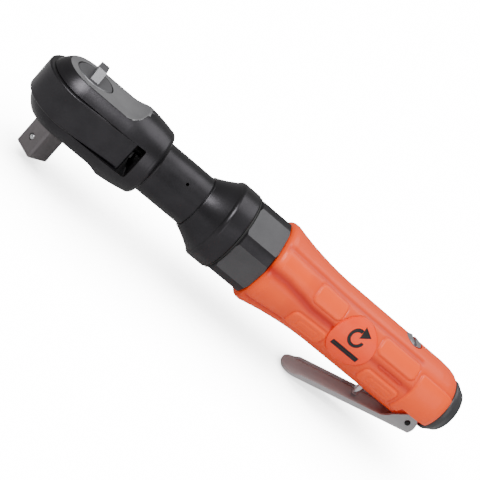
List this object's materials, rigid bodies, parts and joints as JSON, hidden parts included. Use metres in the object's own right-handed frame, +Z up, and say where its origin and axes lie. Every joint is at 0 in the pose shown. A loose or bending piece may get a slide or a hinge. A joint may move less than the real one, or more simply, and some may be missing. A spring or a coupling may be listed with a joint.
{
  "type": "air ratchet",
  "caption": "Pneumatic ratchet wrench with a half-inch square drive, a swinging yoke head, an orange grip and a throttle lever.",
  "frame": {"origin": "on the square drive's axis, at the shoulder that a socket seats against", "axes": "+X along the tool to the air inlet, +Z up along the drive axis to the reversing knob, square drive pointing to -Z"},
  "size_m": [0.2684, 0.0466, 0.0606],
  "materials": {
    "black_steel": "black oxide, satin",
    "ring_steel": "black oxide with bright wrench flats",
    "drive_steel": "dark phosphate, satin",
    "joint_seal": "matte",
    "bright_steel": "ground and polished",
    "spring_steel": "drawn wire",
    "gear_steel": "hardened and ground",
    "bronze": "sintered bronze",
    "housing_aluminium": "machined",
    "orange_grip": "moulded orange composite, satin",
    "badge_face": "moulded orange label with a black mark",
    "lever_steel": "pressed and plated sheet steel",
    "black_plastic": "moulded black, satin",
    "inlet_steel": "turned steel",
    "vane_resin": "phenolic laminate",
    "grey_felt": "pressed felt"
  },
  "bodies": {
    "handle": {"ratchet_housing": "black_steel", "clamp_nut": "black_steel", "joint_ring": "joint_seal", "gear_ring": "ring_steel", "motor_housing": "housing_aluminium", "motor_cylinder": "gear_steel", "cylinder_dowel": "bright_steel", "front_end_plate": "gear_steel", "rear_end_plate": "gear_steel", "front_bearing": "bright_steel", "rear_bearing": "bright_steel", "crank_bushing": "bronze", "crank_bearing_shell": "bright_steel", "crank_bearing_needles": "bright_steel", "grip_sleeve": "orange_grip", "badge": "badge_face", "valve_seat": "bronze", "stem_bushing": "bronze", "stem_seal": "joint_seal", "valve_plug": "bright_steel", "plug_seal": "joint_seal", "lever_pin": "bright_steel", "inlet_bushing": "inlet_steel", "inlet_screen": "bronze", "valve_spring": "spring_steel"},
    "yoke": {"ratchet_yoke": "black_steel"},
    "drive": {"square_drive": "drive_steel", "pawl_pin": "bright_steel", "thrust_washer": "bright_steel", "drive_retaining_ring": "bright_steel", "detent_spring": "spring_steel"},
    "knob": {"reversing_knob": "black_steel", "pawl_plunger": "bright_steel", "pawl_spring": "spring_steel"},
    "pawl": {"pawl": "drive_steel"},
    "ball": {"detent_ball": "bright_steel"},
    "crank": {"crankshaft": "gear_steel", "drive_bushing": "bronze", "planet_pins": "bright_steel"},
    "planet_1": {"planet_gear_1": "gear_steel"},
    "planet_2": {"planet_gear_2": "gear_steel"},
    "planet_3": {"planet_gear_3": "gear_steel"},
    "rotor": {"rotor": "gear_steel", "rotor_vanes": "vane_resin"},
    "lever": {"throttle_lever": "lever_steel"},
    "valve": {"valve_stem": "bright_steel", "valve_poppet": "bronze"},
    "deflector": {"exhaust_deflector": "black_plastic", "silencer_felt": "grey_felt"}
  },
  "joints": [
    {"name": "crank_spin", "type": "hinge", "parent": "handle", "child": "crank", "pos_m": [0.06, 0, 0.017], "axis": [1, 0, 0], "continuous": true},
    {"name": "rotor_spin", "type": "hinge", "parent": "handle", "child": "rotor", "pos_m": [0.14, 0, 0.017], "axis": [1, 0, 0], "continuous": true},
    {"name": "planet_1_spin", "type": "hinge", "parent": "crank", "child": "planet_1", "pos_m": [0.095, 0, 0.026], "axis": [1, 0, 0], "continuous": true},
    {"name": "planet_2_spin", "type": "hinge", "parent": "crank", "child": "planet_2", "pos_m": [0.095, -0.00779, 0.0125], "axis": [1, 0, 0], "continuous": true},
    {"name": "planet_3_spin", "type": "hinge", "parent": "crank", "child": "planet_3", "pos_m": [0.095, 0.00779, 0.0125], "axis": [1, 0, 0], "continuous": true},
    {"name": "yoke_swing", "type": "hinge", "parent": "handle", "child": "yoke", "pos_m": [0, 0, 0.017], "axis": [0, 0, 1], "range_deg": [-3, 3]},
    {"name": "drive_turn", "type": "hinge", "parent": "handle", "child": "drive", "pos_m": [0, 0, 0], "axis": [0, 0, 1], "continuous": true},
    {"name": "knob_turn", "type": "hinge", "parent": "drive", "child": "knob", "pos_m": [0, 0, 0.017], "axis": [0, 0, 1], "range_deg": [-35, 35]},
    {"name": "pawl_rock", "type": "hinge", "parent": "drive", "child": "pawl", "pos_m": [-0.0096, 0, 0.017], "axis": [0, 0, 1], "range_deg": [-2, 2]},
    {"name": "ball_press", "type": "slide", "parent": "drive", "child": "ball", "axis": [0.7071, 0.7071, 0], "range_m": [0, 0.00055], "stiffness_N_per_m": 1500, "springref_m": -0.002},
    {"name": "lever_squeeze", "type": "hinge", "parent": "handle", "child": "lever", "pos_m": [0.233, 0, 0.0017], "axis": [0, 1, 0], "range_deg": [0, 12], "stiffness_Nm_per_rad": 3, "springref_deg": -22.92},
    {"name": "valve_lift", "type": "slide", "parent": "handle", "child": "valve", "axis": [0, 0, 1], "range_m": [0, 0.0062], "deforming": ["valve_spring"]},
    {"name": "deflector_turn", "type": "hinge", "parent": "handle", "child": "deflector", "pos_m": [0.24, 0, 0.017], "axis": [1, 0, 0], "continuous": true}
  ],
  "couplings": [
    {"joint": "rotor_spin", "follows": "crank_spin", "ratio": 4},
    {"joint": "planet_1_spin", "follows": "crank_spin", "ratio": -3},
    {"joint": "planet_2_spin", "follows": "crank_spin", "ratio": -3},
    {"joint": "planet_3_spin", "follows": "crank_spin", "ratio": -3},
    {"joint": "pawl_rock", "follows": "knob_turn", "ratio": 0.05714},
    {"joint": "valve_lift", "follows": "lever_squeeze", "m_per_rad": 0.0291}
  ]
}
